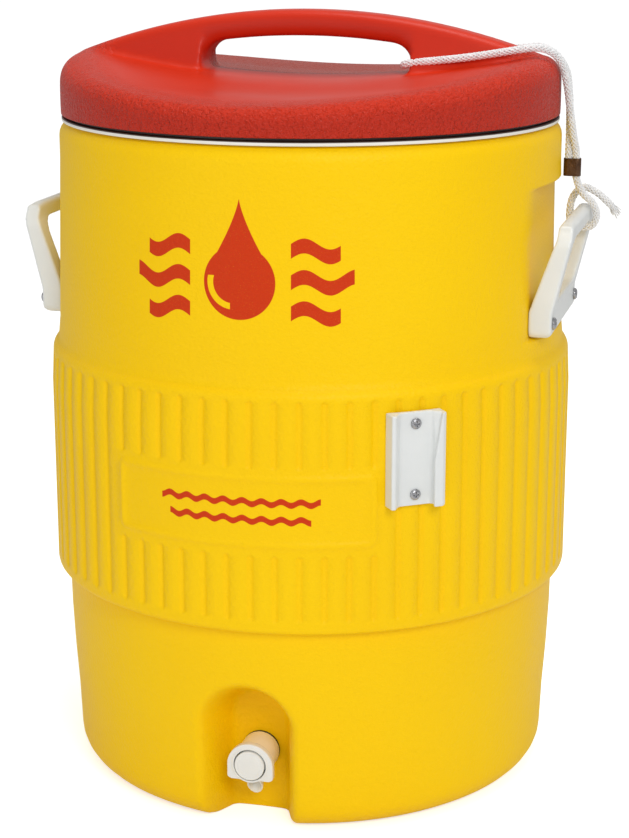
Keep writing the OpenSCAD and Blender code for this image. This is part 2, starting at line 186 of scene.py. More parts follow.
def srgb(r, g, b):
    """A colour given as 0 to 255, as the shader's linear values."""
    linear = [
        c / 12.92 if c <= 0.04045 else ((c + 0.055) / 1.055) ** 2.4
        for c in (r / 255, g / 255, b / 255)
    ]
    return (*linear, 1.0)


# What moulded plastic and the other finishes share: a slow mottle for colour and gloss, and a
# leather grain with fine pores in it.
skin, skin_in, skin_out = node_group(
    "moulded_skin",
    [
        ("Vector", "NodeSocketVector", None),
        ("Grain size", "NodeSocketFloat", 300.0),
        ("Grain height", "NodeSocketFloat", 0.00005),
        ("Mottle size", "NodeSocketFloat", 14.0),
    ],
    [("Mottle", "NodeSocketFloat"), ("Fine", "NodeSocketFloat"), ("Normal", "NodeSocketVector")],
)
mottle = add_node(
    skin, "TexNoise", Vector=skin_in.outputs[0], Scale=skin_in.outputs[3], Detail=4.0
)
warp = add_node(
    skin, "TexNoise", Vector=skin_in.outputs[0], Scale=skin_in.outputs[1], Detail=2.0
)
bent = add_node(
    skin,
    "MixRGB",
    {"blend_type": "LINEAR_LIGHT"},
    Fac=0.0022,
    Color1=skin_in.outputs[0],
    Color2=warp.outputs["Color"],
)
cells = add_node(
    skin,
    "TexVoronoi",
    {"feature": "SMOOTH_F1"},
    Vector=bent.outputs[0],
    Scale=skin_in.outputs[1],
    Smoothness=0.6,
)
pores = add_node(
    skin, "TexNoise", Vector=skin_in.outputs[0], Scale=1400.0, Detail=3.0, Roughness=0.6
)
relief = add_node(
    skin,
    "Math",
    {"operation": "MULTIPLY_ADD"},
    _0=pores.outputs["Fac"],
    _1=0.35,
    _2=cells.outputs[0],
)
bump = add_node(skin, "Bump", Height=relief.outputs[0], Distance=skin_in.outputs[2], Strength=1.0)
skin.links.new(mottle.outputs["Fac"], skin_out.inputs[0])
skin.links.new(pores.outputs["Fac"], skin_out.inputs[1])
skin.links.new(bump.outputs[0], skin_out.inputs[2])


def moulded(name, light, dark, rough, grain=300.0, height=0.00004, mottle_size=14.0, **shader):
    """Moulded plastic with the shared skin. Returns the material, its shader and its skin node."""
    material = bpy.data.materials.new(name)
    material.use_nodes = True
    tree = material.node_tree
    bsdf = tree.nodes["Principled BSDF"]
    where = add_node(tree, "TexCoord")
    node = tree.nodes.new("ShaderNodeGroup")
    node.node_tree = skin
    tree.links.new(where.outputs["Object"], node.inputs["Vector"])
    node.inputs["Grain size"].default_value = grain
    node.inputs["Grain height"].default_value = height
    node.inputs["Mottle size"].default_value = mottle_size
    tint = add_node(tree, "MixRGB", Fac=node.outputs["Mottle"], Color1=srgb(*dark), Color2=srgb(*light))
    sheen = add_node(
        tree,
        "MapRange",
        Value=node.outputs["Mottle"],
        From_Min=0.3,
        From_Max=0.7,
        To_Min=rough - 0.05,
        To_Max=rough + 0.05,
    )
    tree.links.new(tint.outputs[0], bsdf.inputs["Base Color"])
    tree.links.new(sheen.outputs[0], bsdf.inputs["Roughness"])
    tree.links.new(node.outputs["Normal"], bsdf.inputs["Normal"])
    for key, value in shader.items():
        bsdf.inputs[key.replace("_", " ")].default_value = value
    return material, bsdf, node


def mapped(tree, value, low, high, to_low=0.0, to_high=1.0):
    """A socket with value, taken from the range low to high into another range, and clamped."""
    node = add_node(
        tree, "MapRange", Value=value, From_Min=low, From_Max=high, To_Min=to_low, To_Max=to_high
    )
    return node.outputs[0]


cord_material, cord_shader, _ = moulded(
    "braided_cord", (252, 252, 252), (222, 222, 222), 0.75, 900.0, 0.00006, 260.0
)
cord_shader.inputs["Sheen Weight"].default_value = 0.25

cord_points = 0.001 * np.array(
    [
        (180.8, 25.4, 432), (180.8, 25, 446), (181, 24, 463), (181, 21.5, 479),
        (180.5, 18.5, 492), (178.5, 16, 505), (172, 14.5, 515), (162, 16, 520.5), (150, 18, 520),
        (130, 18.8, 517), (108, 19, 514), (80, 18.6, 509), (72, 16.5, 508), (69.5, 9, 508),
        (69.5, -9, 508.5), (72, -16.5, 509.5), (80, -18.6, 511), (110, -20, 514.5),
        (132, -19.4, 517.8), (151, -18, 521), (163, -13.5, 522), (172, -5, 518), (177.5, 2, 509.5),
        (180.5, 8, 495), (182.3, 13, 479), (184.3, 18.5, 462), (186.2, 24.4, 447), (186.4, 25.6, 431),
        (190.5, 30, 419), (197.5, 33.5, 411.5), (200.6, 35.4, 404), (199.6, 36.8, 397.5),
        (195.6, 38, 393.4), (187, 38.8, 393), (182.2, 39.2, 395.6), (181, 39.5, 403),
        (183, 39.8, 414), (190, 41, 421), (200, 43, 417), (210, 45, 408),
    ]
)
cord_line, cord_run = smooth_line(cord_points, 0.0009)
yarns_each_way = 6
braid_pitch = 0.021
braid_radius = 0.0019
weave_height = 0.00032
core_radius = 0.0016
yarn_radius = 0.00064
turn_rate = 2 * math.pi / braid_pitch
tangent, side, up = carried_frames(cord_line)
cord_lines = [cord_line[::3]]
for way in (-1, 1):
    for k in range(yarns_each_way):
        angle = way * turn_rate * cord_run + 2 * math.pi * k / yarns_each_way
        weave = weave_height * np.cos(yarns_each_way * turn_rate * cord_run)
        out = braid_radius + way * weave
        outward = np.cos(angle)[:, None] * side + np.sin(angle)[:, None] * up
        cord_lines.append(cord_line + out[:, None] * outward)
yarn_radii = [yarn_radius] * (2 * yarns_each_way)
cord = tubes("lanyard_braid", cord_lines, [core_radius] + yarn_radii, 1, cord_material)
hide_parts("lanyard_cord")
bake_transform(cord)

# The tail's cut end, where the yarns have come loose, splay out and droop a little. Each loose
# strand has its own spread and reach.
strands = 18
golden_turn = 2.4
droop = np.array([0, 0, 0.002])
fray_root = cord_line[-1] - 0.003 * tangent[-1]
frays = []
for k in range(strands):
    spread = 0.0006 + 0.0016 * ((k * 7) % 5) / 4
    reach = 0.006 + 0.005 * ((k * 5) % 7) / 6
    aside = math.cos(k * golden_turn) * side[-1] + math.sin(k * golden_turn) * up[-1]
    t = np.linspace(0, 1, 9)[:, None]
    frays.append(
        fray_root + aside * (0.0015 + spread * t**1.6) + tangent[-1] * reach * t - droop * t**2
    )
fray = tubes("lanyard_frayed_end", frays, [0.00035] * strands, 0, cord_material)
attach(fray, "root")


# Ferrule: a dark bronzed metal sleeve, bent round the cord's two strands just below the lid and
# crimped, so that the loop over the lid's handle stays shut.
def cad_copy(node):
    """A CAD node's mesh with its loose triangles merged."""
    bm = bmesh.new()
    bm.from_mesh(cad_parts[node].data)
    bmesh.ops.remove_doubles(bm, verts=bm.verts, dist=1e-6)
    return bm


def eased(node, name, material, width, segments=2):
    """A copy of a fixed CAD node with merged flats and its edges rounded by width."""
    bm = cad_copy(node)
    bmesh.ops.dissolve_limit(
        bm, angle_limit=math.radians(1), use_dissolve_boundaries=False, verts=bm.verts,
        edges=bm.edges,
    )
    piece = finished(bm, name, material)
    bevel = piece.modifiers.new("eased", "BEVEL")
    bevel.width = width
    bevel.segments = segments
    bevel.limit_method = "ANGLE"
    bevel.angle_limit = math.radians(35)
    bevel.harden_normals = True
    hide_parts(node)
    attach(piece, "root")
    return piece


bronze, bronze_shader, _ = moulded(
    "ferrule_metal", (120, 88, 62), (58, 40, 30), 0.34, 500.0, 0.0003, 160.0
)
bronze_shader.inputs["Metallic"].default_value = 0.85
ferrule = eased("lanyard_ferrule", "lanyard_crimp", bronze, 0.0002)


# Outer shell: one yellow moulding, open at the top. It is a closed double-sided wall with grooves
# round the raised band, a framed plain panel in front, two flat pockets behind the side handles
# and a niche round the tap.
def soft_min(a, b, k):
    """The lower of two heights, with a round of about k where they meet."""
    h = np.clip(k - np.abs(a - b), 0, None) / k
    return np.minimum(a, b) - h * h * k / 4


def ramp(z, a, b):
    """0 below a, 1 above b, and smooth between them."""
    t = np.clip((z - a) / (b - a), 0, 1)
    return t * t * (3 - 2 * t)


def arc(cx, cz, r, a0, a1, n):
    """Points of an arc in a profile, with its angles in degrees."""
    angles = np.radians(np.linspace(a0, a1, n + 1))
    return [(cx + r * math.cos(a), cz + r * math.sin(a)) for a in angles]


def spun(outline, steps):
    """A profile of radius and height points in millimetres, turned once round the jug's axis."""
    bm = bmesh.new()
    row = bm.verts.layers.int.new("row")
    chain = []
    for i, (r, z) in enumerate(outline):
        v = bm.verts.new((0, -r / 1000, z / 1000))
        v[row] = i
        chain.append(v)
    edges = [bm.edges.new(pair) for pair in zip(chain, chain[1:])]
    bmesh.ops.spin(
        bm, geom=chain + edges, cent=(0, 0, 0), axis=(0, 0, 1), dvec=(0, 0, 0),
        angle=2 * math.pi, steps=steps, use_merge=True, use_duplicate=False,
    )
    bmesh.ops.remove_doubles(bm, verts=bm.verts, dist=1e-6)
    return bm


# Millimetres. First the wall's own corners and rounds, from the foot to the mouth, then the heights
# where more rows are wanted: at the niche's arch, the band's ends, the panel's frame, the ends of
# the grooves, and the pockets' ledges.
band_r = 187.7
shell_t = 2.5
wall = [
    *arc(154, 20, 20, -90, 0, 7), (175.2, 51), (177.3, 83), (178.7, 115), (179.3, 149),
    *arc(183.7, 153, 4, -90, 0, 4), (band_r, 285), (186.9, 300),
    *arc(178.5, 308, 8, 0, 60, 5), (181.2, 328), (178.4, 414), (177.4, 445),
    *arc(167.4, 460, 10, 0, 90, 6),
]
heights = [
    *(27, 34, 41, 48, 55, 61, 66, 70, 74, 78, 82, 85.5), *np.arange(88, 112, 1.7),
    *(114, 117, 121, 126, 132, 138, 143, 146.5), *(156.5, 157.3, 158.2, 159.2, 160.4, 162, 166, 176),
    *(188, 197, 200.5, 201.6, 202.6, 203.5, 204.3, 206.5, 208.6, 209.6, 210.6, 211.5, 212.4, 213.4),
    *(214.6, 218, 226, 234, 242, 250, 253.4, 254.6, 255.6, 256.5, 257.4, 258.4, 259.6, 261.5, 262.7),
    *(263.5, 264.4, 265.4, 267, 271, 280, 292, 301, 304, 305.4, 306.5, 307.4),
    *(320, 326, 328.4, 329.2, 330, 330.8, 332, 335, 345, 362, 380, 398, 412, 422, 427, 429, 430.2),
    *(431.2, 432.2, 433.5, 436.5, 451),
]
corner = np.array(wall)
rising = np.maximum.accumulate(corner[:, 1]) + 1e-6 * np.arange(len(corner))
profile = sorted(
    [(i, r, z) for i, (r, z) in zip(rising, wall)]
    + [(z, float(np.interp(z, rising, corner[:, 0])), z) for z in heights]
)
outside = [(0, 0), (60, 0), (118, 0)] + [(r, z) for _, r, z in profile]
inside_heights = [
    463, 450, 435, 432, 427, 400, 370, 340, 331, 328, 325, 313, 296, 270, 220, 170, 156, 146,
    116, 100, 84, 60, 40, 22.5,
]
inside = [(165.8, 470), (165.8, 467.5)]
inside += [(float(np.interp(z, rising, corner[:, 0])) - shell_t, z) for z in inside_heights]
inside += [(148, shell_t), (110, shell_t), (50, shell_t), (0, shell_t)]
shell = finished(spun(outside + inside, 576), "shell_body", None)

count = len(shell.data.vertices)
co = np.zeros(count * 3)
shell.data.vertices.foreach_get("co", co)
co = co.reshape(-1, 3) * 1000
rows = np.zeros(count, np.int32)
shell.data.attributes["row"].data.foreach_get("value", rows)
deep = np.where(rows >= len(outside) + 1, shell_t, 0.0)
outer_face = deep == 0
z = co[:, 2]
r = np.hypot(co[:, 0], co[:, 1])
turn = np.arctan2(co[:, 0], -co[:, 1])

# Columns gather at the grooves' edges in the band, with eight to a groove's pitch, and at the
# niche's flanks below it.
groove_pitch = math.radians(5)
niche_turn = math.radians(22.5)
middle = (np.round(turn / groove_pitch - 0.5) + 0.5) * groove_pitch
off = (turn - middle) / groove_pitch * 8
drawn_in = np.interp(np.abs(off), range(5), (0, 0.9, 1.8, 2.8, 8.19))
gathered = middle + np.sign(off) * drawn_in / band_r
in_band = ramp(z, 149, 156) * (1 - ramp(z, 309, 318)) * outer_face
lateral = np.abs(turn) / niche_turn * (r * math.sin(niche_turn) + 30.5)
lateral = np.interp(lateral, (0, 20, 62.8, 400), (0, 20, 32.3, 369.5))
flank = np.sign(turn) * np.arcsin(np.clip(lateral / np.maximum(r, 1), 0, 1))
below_band = (1 - ramp(z, 114, 146)) * (r > 130) * (np.abs(turn) < niche_turn + 0.0002)
turn = turn + in_band * (gathered - turn) + below_band * (flank - turn)

# Pockets: flat walls behind the side handles, with a ledge below and an overhang above.
pocket_x = 168
pocket_low = 329.5
pocket_high = 431.3
edge = 0.9
in_pocket = ramp(z, pocket_low - edge - deep, pocket_low + edge - deep)
in_pocket = in_pocket * (1 - ramp(z, pocket_high - edge + deep, pocket_high + edge + deep))
flat_wall = (pocket_x - deep) / np.maximum(np.abs(np.sin(turn)), 0.05)
r = r + in_pocket * (np.minimum(soft_min(r, flat_wall, 4), r) - r)

# Grooves with round ends. In front they are in two rows, above and below the panel.
groove_half = 2.5
groove_depth = 1.5
panel_z = 234
across = (turn - middle) * band_r
in_front = np.abs(middle) < math.radians(28.5)
lower_row = z < panel_z + 2
groove_top = np.where(in_front & lower_row, 204, 308)
groove_bottom = np.where(in_front & ~lower_row, 263, 158)
past_end = np.maximum(groove_bottom + 2.3 - z, z - groove_top + 2.3)
from_line = np.hypot(across, np.maximum(past_end, 0))
groove = np.clip(1 - (from_line / groove_half) ** 2, 0, 1) ** 0.75
outward = -groove_depth * groove * outer_face * (z > 154) * (z < 312)

# The rounded bead that frames the panel.
bead_half = 2.7
bead_height = 1.05
panel_corner = 4
edge_u = np.abs(turn) * band_r - 86.1
edge_v = np.abs(z - panel_z) - 18.5
to_frame = np.hypot(np.maximum(edge_u, 0), np.maximum(edge_v, 0)) - panel_corner
to_frame = to_frame + np.minimum(np.maximum(edge_u, edge_v), 0)
bead = np.clip(1 - (to_frame / bead_half) ** 2, 0, 1) ** 0.8
framed = np.maximum(outward * (bead < 0.05), 0) + bead_height * bead * outer_face
r = r + np.where(bead > 0, framed, outward)

# Tap niche: a flat back wall with an arched, flaring cut, rounded where it meets the body.
niche_back = 135
niche_half = 20
arch_z = 72
flare = 0.3
x = r * np.sin(turn)
y = r * np.cos(turn)
past = np.hypot(x, np.maximum(z - arch_z, 0)) - niche_half - deep
cut = niche_back - deep + (past + np.sqrt(past**2 + 4)) / 2 / flare
y = np.where((y > 120) & (z < 150), soft_min(y, cut, 19.0), y)
co = np.stack([x, -y, z], axis=1) / 1000
shell.data.vertices.foreach_set("co", co.ravel())
shell.data.update()

# Its yellow polyethylene, with a made-up print in red ink: a drop between waves, and two wavy
# lines on the panel. The print lies on the wall by angle and height, and is only on the front.
print_mask, print_in, print_out = node_group(
    "front_print", [("Vector", "NodeSocketVector", None)], [("Ink", "NodeSocketFloat")]
)


def calc(operation, *values, clamp=False):
    """One Math node in the print group, from numbers or sockets."""
    node = add_node(
        print_mask,
        "Math",
        {"operation": operation, "use_clamp": clamp},
        **{f"_{i}": v for i, v in enumerate(values)},
    )
    return node.outputs[0]


def inside_of(distance):
    """1 where a distance in metres is below zero, with an edge 0.3 mm wide."""
    return calc("MULTIPLY_ADD", distance, -3300.0, 0.5, clamp=True)


def length_of(u, v):
    """Distance from the point where u and v are zero."""
    return calc("SQRT", calc("ADD", calc("POWER", u, 2.0), calc("POWER", v, 2.0)))


axes = add_node(print_mask, "SeparateXYZ", Vector=print_in.outputs[0])
px, py, pz = axes.outputs
wall_r = 0.181
pu = calc("MULTIPLY", calc("ARCTAN2", px, calc("MULTIPLY", py, -1.0)), wall_r)
side_u = calc("ABSOLUTE", pu)
# The drop: a circle below, and above it sides that draw in to a point.
drop_z = 0.3835
drop_r = 0.024
drop_tip = 0.054
dz = calc("SUBTRACT", pz, drop_z)
circle = calc("SUBTRACT", length_of(side_u, dz), drop_r)
taper = calc("MULTIPLY", calc("SUBTRACT", drop_tip, dz), 1 / drop_tip, clamp=True)
point = calc("SUBTRACT", side_u, calc("MULTIPLY", calc("POWER", taper, 1.35), 0.0265))
above = calc("MULTIPLY", calc("GREATER_THAN", dz, 0.004), calc("LESS_THAN", dz, 0.053))
drop = calc("MAXIMUM", inside_of(circle), calc("MULTIPLY", inside_of(point), above))
# A lighter crescent is left open in the drop.
gleam_u = calc("ADD", pu, 0.004)
gleam = calc("SUBTRACT", length_of(gleam_u, dz), 0.0155)
gleam_ring = calc("SUBTRACT", calc("ABSOLUTE", gleam), 0.002)
gleam_side = calc("MULTIPLY", calc("LESS_THAN", pu, -0.006), calc("LESS_THAN", dz, 0.004))
gleam_ink = calc("MULTIPLY", inside_of(gleam_ring), gleam_side)
drop = calc("MULTIPLY", drop, calc("SUBTRACT", 1.0, gleam_ink))


def wave(height, rise, length, thick, u0, u1, across):
    """Ink of one wavy stroke at a height, between two distances along the wall."""
    swing = calc("MULTIPLY", calc("SINE", calc("MULTIPLY", across, 2 * math.pi / length)), rise)
    away = calc("ABSOLUTE", calc("SUBTRACT", calc("SUBTRACT", pz, height), swing))
    stroke = calc("SUBTRACT", away, thick / 2)
    ends = calc(
        "SUBTRACT", calc("ABSOLUTE", calc("SUBTRACT", across, (u0 + u1) / 2)), (u1 - u0) / 2
    )
    return inside_of(calc("MAXIMUM", stroke, ends))


ink = drop
for height, u1 in ((0.4045, 0.066), (0.3845, 0.075), (0.3645, 0.066)):
    ink = calc("MAXIMUM", ink, wave(height, 0.0035, 0.034, 0.0095, 0.034, u1, side_u))
for height, u1 in ((0.2405, 0.053), (0.2285, 0.047)):
    ink = calc("MAXIMUM", ink, wave(height, 0.0012, 0.0125, 0.0042, -u1, u1, pu))
ink = calc("MULTIPLY", ink, calc("LESS_THAN", py, -0.02))
print_mask.links.new(ink, print_out.inputs[0])

yellow, yellow_shader, yellow_skin = moulded(
    "yellow_shell", (255, 211, 0), (252, 201, 0), 0.42, 420.0, 0.0003, 9.0
)
yellow_shader.inputs["Specular IOR Level"].default_value = 0.14
tree = yellow.node_tree
where = add_node(tree, "TexCoord")
mark = tree.nodes.new("ShaderNodeGroup")
mark.node_tree = print_mask
tree.links.new(where.outputs["Object"], mark.inputs[0])
under = yellow_shader.inputs["Base Color"].links[0].from_socket
worn = mapped(tree, yellow_skin.outputs["Fine"], 0.25, 0.4, 0.82, 0.97)
amount = add_node(tree, "Math", {"operation": "MULTIPLY"}, _0=mark.outputs[0], _1=worn)
printed = add_node(tree, "MixRGB", Fac=amount.outputs[0], Color1=under, Color2=srgb(205, 40, 12))
tree.links.new(printed.outputs[0], yellow_shader.inputs["Base Color"])
shell.data.materials.append(yellow)
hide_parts("outer_shell")
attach(shell, "root")


# Lid: a red moulding. Its top is a saddle that rises to both ends of the handle, and it dips
# in front so that fingers get under the handle's arch. A pebbled grain covers its rim and wall.
lid_r = 176
saddle_r = 171


def lid_top(x, y):
    """Height of the lid's top in millimetres, before its edge is rounded."""
    r = np.hypot(x, y)
    dip = 3.2 * np.exp(-(((np.abs(y) - 92) / 34) ** 2)) * (1 - np.clip(x / saddle_r, -1, 1) ** 2)
    roof = 1.2 * np.clip(np.abs(y) / 22, 0, 1)
    return 494.9 + 24 * (x / saddle_r) ** 2 + 5.2 * (1 - (r / saddle_r) ** 2) - dip - roof


def edge_drop(x, y, top_r):
    """How far the top's rounded edge falls at a point, in millimetres."""
    r = np.hypot(x, y)
    round_r = 9 + 11 * (x / np.maximum(r, 1)) ** 2
    into = np.clip(r - (top_r - round_r), 0, round_r)
    return round_r - np.sqrt(round_r**2 - into**2)


top_rows = np.concatenate([np.linspace(0, 156, 62), np.linspace(158, 175.9, 20)])
skirt = [(lid_r, 485), (lid_r, 478), (175.7, 470), (0, 470)]
bm = spun([(r, 500) for r in top_rows] + skirt, 300)
row = bm.verts.layers.int["row"]
for v in bm.verts:
    x, y = 1000 * v.co.x, 1000 * v.co.y
    if v[row] < len(top_rows):
        v.co.z = (lid_top(x, y) - edge_drop(x, y, lid_r)) / 1000
    elif v[row] < len(top_rows) + 2:
        share = (0.5, 0.1)[v[row] - len(top_rows)]
        v.co.z = (478 + share * (lid_top(x, y) - edge_drop(x, y, 175.9) - 478)) / 1000
bmesh.ops.recalc_face_normals(bm, faces=bm.faces)

# The handle: a rounded bar swept over an arch. Past the finger opening its underside runs down
# into the lid, so it becomes the two legs that flare towards their feet.
bar = bmesh.new()
tag = bar.verts.layers.int.new("section")
corners = []
for cy, cq, a0 in ((6.5, -7.5, 0), (-6.5, -7.5, 90), (-8.5, -12.5, 180), (8.5, -12.5, 270)):
    rr = 7.5 if cq == -7.5 else 5.5
    corners += [(y, q) for y, q in arc(cy, cq, rr, a0, a0 + 90, 6)]
arch_r = 475.0
arch_low = 69.98
foot_x = 170
bar_steps = 150
finger_half = 75
finger_round = 13
bar_depth = 18
leg_bottom = 482
ring = [bar.verts.new((0, y / 1000, (arch_low + arch_r + q) / 1000)) for y, q in corners]
for i, v in enumerate(ring):
    v[tag] = i
face = bar.faces.new(ring)
half_turn = math.asin(foot_x / arch_r)
bmesh.ops.rotate(
    bar, verts=ring, cent=(0, 0, arch_low / 1000), matrix=Matrix.Rotation(-half_turn, 3, "Y")
)
bmesh.ops.spin(
    bar, geom=[face] + ring + list(face.edges), cent=(0, 0, arch_low / 1000), axis=(0, 1, 0),
    dvec=(0, 0, 0), angle=2 * half_turn, steps=bar_steps, use_merge=False, use_duplicate=False,
)
half = [
    *np.linspace(0, 60, 16),
    *np.linspace(60, finger_half, 21)[1:],
    *np.linspace(75.4, foot_x, 40),
]
stations = [-x for x in half[:0:-1]] + half
for v in bar.verts:
    angle = math.atan2(v.co.x, v.co.z - arch_low / 1000)
    x = stations[round((angle + half_turn) / (2 * half_turn) * bar_steps)]
    y, q = corners[v[tag]]
    top = arch_low + math.sqrt(arch_r**2 - x**2)
    over_opening = abs(x) <= finger_half
    if over_opening:
        into_round = max(abs(x) - finger_half + finger_round, 0)
        under = top - bar_depth - finger_round + math.sqrt(finger_round**2 - into_round**2)
    else:
        under = leg_bottom
    z = top + q if q > -9 else under + q + bar_depth
    flare = 1 if over_opening else 1 + 0.3 * max(0, top - 9 - z) / 14
    v.co = (x / 1000, y * flare / 1000, z / 1000)
bmesh.ops.recalc_face_normals(bar, faces=bar.faces)
joined = bpy.data.meshes.new("bar")
bar.to_mesh(joined)
bar.free()
bm.from_mesh(joined)
lid = finished(bm, "lid_moulding", None)


def settled(piece, modifiers):
    """Gives a piece's mesh the result of the given modifiers."""
    for kind, settings in modifiers:
        modifier = piece.modifiers.new(kind, kind)
        for key, value in settings.items():
            setattr(modifier, key, value)
    graph = bpy.context.evaluated_depsgraph_get()
    mesh = bpy.data.meshes.new_from_object(piece.evaluated_get(graph))
    piece.modifiers.clear()
    piece.data = mesh
    mesh.name = piece.name
    mesh.shade_smooth()
    return mesh


def evened(piece, voxel, rounds):
    """Rebuilds a piece's surface in even small faces and smooths it, which softens its edges."""
    settled(
        piece,
        [
            ("REMESH", {"mode": "VOXEL", "voxel_size": voxel}),
            ("SMOOTH", {"factor": 0.5, "iterations": rounds}),
        ],
    )


def coated(piece, material):
    """Makes a material the only one on a piece."""
    piece.data.materials.clear()
    piece.data.materials.append(material)


# The whole is rebuilt as one closed surface, cut open at its foot and given a wall.
evened(lid, 0.0021, 11)
bm = bmesh.new()
bm.from_mesh(lid.data)
bmesh.ops.bisect_plane(
    bm, geom=list(bm.verts) + list(bm.edges) + list(bm.faces), plane_co=(0, 0, 0.475),
    plane_no=(0, 0, 1), clear_inner=True,
)
bm.to_mesh(lid.data)
bm.free()
settled(lid, [("SOLIDIFY", {"thickness": 0.003, "offset": -1})])

red, red_shader, red_skin = moulded(
    "red_lid", (220, 52, 20), (205, 44, 16), 0.36, 430.0, 0.0002, 11.0
)
red_shader.inputs["Specular IOR Level"].default_value = 0.22
tree = red.node_tree
surface = add_node(tree, "NewGeometry")
place = add_node(tree, "TexCoord")
spot = add_node(tree, "SeparateXYZ", Vector=place.outputs["Object"])
facing = add_node(tree, "SeparateXYZ", Vector=surface.outputs["True Normal"])
# The grain is strong on the wall and crest and behind the handle, and faint in the scoop.
behind = mapped(tree, spot.outputs[1], -0.002, 0.003)
high = mapped(tree, spot.outputs[2], 0.506, 0.516, 1.0, 0.1)
flat_spot = add_node(tree, "CombineXYZ", X=spot.outputs[0], Y=spot.outputs[1])
from_axis = add_node(tree, "VectorMath", {"operation": "LENGTH"}, Vector=flat_spot.outputs[0])
outer = mapped(tree, from_axis.outputs["Value"], 0.138, 0.158)
flat_back = add_node(tree, "Math", {"operation": "MULTIPLY"}, _0=behind, _1=high)
grained = add_node(tree, "Math", {"operation": "MAXIMUM"}, _0=outer, _1=flat_back.outputs[0])
grain_height = mapped(tree, grained.outputs[0], 0.0, 1.0, 0.00005, 0.0016)
tree.links.new(grain_height, red_skin.inputs["Grain height"])
# Painted shade: its colour is greyer and darker behind the handle, in the handle's shade, and darker on
# the steep wall, which faces away from the light overhead.
plain = red_shader.inputs["Base Color"].links[0].from_socket
shade_behind_handle = add_node(tree, "MixRGB", Fac=flat_back.outputs[0], Color1=plain, Color2=srgb(176, 62, 44))
# Painted shade on the steep wall: darker red the more the surface faces sideways.
steep = mapped(tree, facing.outputs[2], 0.0, 0.85, 0.55, 0.0)
steep_wall_shade = add_node(tree, "MixRGB", Fac=steep, Color1=shade_behind_handle.outputs[0], Color2=srgb(176, 36, 20))
tree.links.new(steep_wall_shade.outputs[0], red_shader.inputs["Base Color"])
coated(lid, red)
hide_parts("lid_shell")
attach(lid, "lid")


# The lid's foam: a disc of cream polyurethane that fills the hollow lid. Its top follows the lid's
# top a little below it, and its middle goes down into the plug. It is seen only in a cut.
foam, _, _ = moulded("foam", (238, 226, 184), (226, 212, 168), 0.9, 500.0, 0.00012, 30.0)
top_gap = 5.5
foam_outline = [(r, 490) for r in (0, 60, 110, 140, 158)]
foam_outline += [(166, 488), (166, 477), (157, 476.6), (157, 458.4), (0, 458.4)]
bm = spun(foam_outline, 96)
for v in bm.verts:
    if v.co.z > 0.4879:
        x, y = 1000 * v.co.x, 1000 * v.co.y
        v.co.z = (lid_top(x, y) - edge_drop(x, y, lid_r) - top_gap) / 1000
lid_fill = finished(bm, "lid_fill", foam, smooth=True)
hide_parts("lid_foam")
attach(lid_fill, "lid")


# Side handles: white polypropylene loops, injection moulded, thick with well rounded edges. Each
# stands out from its pocket in the shell and is held by two screws.
def softened(node, name, material, voxel, rounds, body="root", reshape=None):
    """A copy of a CAD node whose surface is rebuilt in even small faces with soft edges."""
    bm = cad_copy(node)
    if reshape:
        reshape(bm)
    piece = finished(bm, name, None)
    evened(piece, voxel, rounds)
    coated(piece, material)
    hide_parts(node)
    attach(piece, body)
    return piece


white, _, _ = moulded(
    "white_handle", (236, 238, 236), (222, 225, 223), 0.34, 600.0, 0.00002, 30.0
)
for side_name in ("left", "right"):
    softened(
        f"side_handle_{side_name}", f"handle_loop_{side_name}", white, 0.0011, 9
    )


# Screws: stainless steel pan heads with a cross recess, two through each side handle and two
# through the cup bracket, driven into the shell.
steel, steel_shader, _ = moulded(
    "screw_steel", (190, 190, 192), (150, 150, 154), 0.28, 900.0, 0.00002, 400.0
)
steel_shader.inputs["Metallic"].default_value = 1.0
for node in ("handle_screws_left", "handle_screws_right", "cup_bracket_screws"):
    eased(node, node + "_eased", steel, 0.00022)


# Cup bracket: a white moulded channel, open in front between two undercut lips, that a tube of
# paper cups slides into from above. Two screws hold it on the ribbed band.
bracket_white, _, _ = moulded(
    "white_bracket", (234, 236, 235), (220, 223, 222), 0.36, 600.0, 0.00002, 40.0
)
bracket_turn = math.radians(35.5)
lip_taper = 0.005


def taper_lip(bm):
    """Draws the undercut lip back towards its upper end, so that the dispenser slides in."""
    bracket_low, bracket_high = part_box("cup_bracket")
    half_way = (bracket_low[2] + bracket_high[2]) / 2
    everything = list(bm.verts) + list(bm.edges) + list(bm.faces)
    bmesh.ops.bisect_plane(bm, geom=everything, plane_co=(0, 0, half_way), plane_no=(0, 0, 1))
    across = Vector((math.cos(bracket_turn), math.sin(bracket_turn), 0))
    forward = Vector((across.y, -across.x, 0))
    for v in bm.verts:
        if 0.0095 < v.co @ across < 0.013 and v.co @ forward > 0.1962 and v.co.z > half_way:
            v.co += lip_taper * (v.co.z - half_way) / (bracket_high[2] - half_way) * across


softened(
    "cup_bracket", "cup_channel", bracket_white, 0.0007, 4, reshape=taper_lip
)


# Tap: a cream barrel with a slanted spout, moulded in one, and a glossy white cap that is pushed
# over its front. In the cap's bore sits a white push button with a spring behind it.
cream, _, _ = moulded("tap_cream", (250, 248, 240), (244, 241, 230), 0.3, 900.0, 0.00001, 60.0)


def slant_mouth(bm):
    """Trims the spout's end on a slant, so that its round mouth faces forward."""
    under_barrel = 0.030
    mouth = (0, -0.15275, 0.02315)
    everything = list(bm.verts) + list(bm.edges) + list(bm.faces)
    bmesh.ops.bisect_plane(bm, geom=everything, plane_co=(0, 0, under_barrel), plane_no=(0, 0, 1))
    low_faces = [f for f in bm.faces if f.calc_center_median().z < under_barrel]
    low_edges = list({e for f in low_faces for e in f.edges})
    low_verts = list({v for f in low_faces for v in f.verts})
    cut = bmesh.ops.bisect_plane(
        bm, geom=low_verts + low_edges + low_faces, plane_co=mouth, plane_no=(0, -0.93, -0.371),
        clear_outer=True,
    )
    rim_edges = [e for e in cut["geom_cut"] if isinstance(e, bmesh.types.BMEdge)]
    bmesh.ops.triangle_fill(bm, edges=rim_edges, use_beauty=True)


